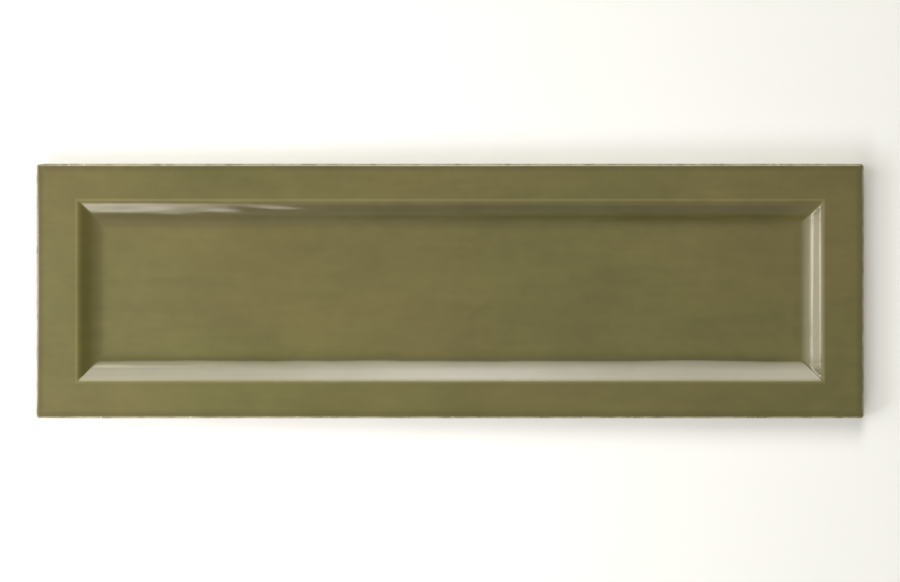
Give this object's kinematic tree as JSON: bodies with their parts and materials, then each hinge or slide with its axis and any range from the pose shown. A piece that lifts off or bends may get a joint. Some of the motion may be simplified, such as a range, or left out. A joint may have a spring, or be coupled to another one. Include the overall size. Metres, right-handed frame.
{
  "type": "subway tile",
  "caption": "Long glazed ceramic wall tile with a flat raised border, a moulded step down to a sunk centre panel, rounded edges and a keyed back for adhesive.",
  "frame": {"origin": "middle of the tile's back, on the plane of the back's ribs, where it lies on a level surface", "axes": "+X along the tile's length, +Y across its width, +Z out of the glazed face"},
  "size_m": [0.3302, 0.1016, 0.0095],
  "materials": {
    "olive_glaze": "gloss olive-green glaze with soft brushed streaks on the face, over a cream fired body that is bare on the lower sides and the back"
  },
  "bodies": {
    "root": {"wall_tile": "olive_glaze"}
  },
  "joints": []
}
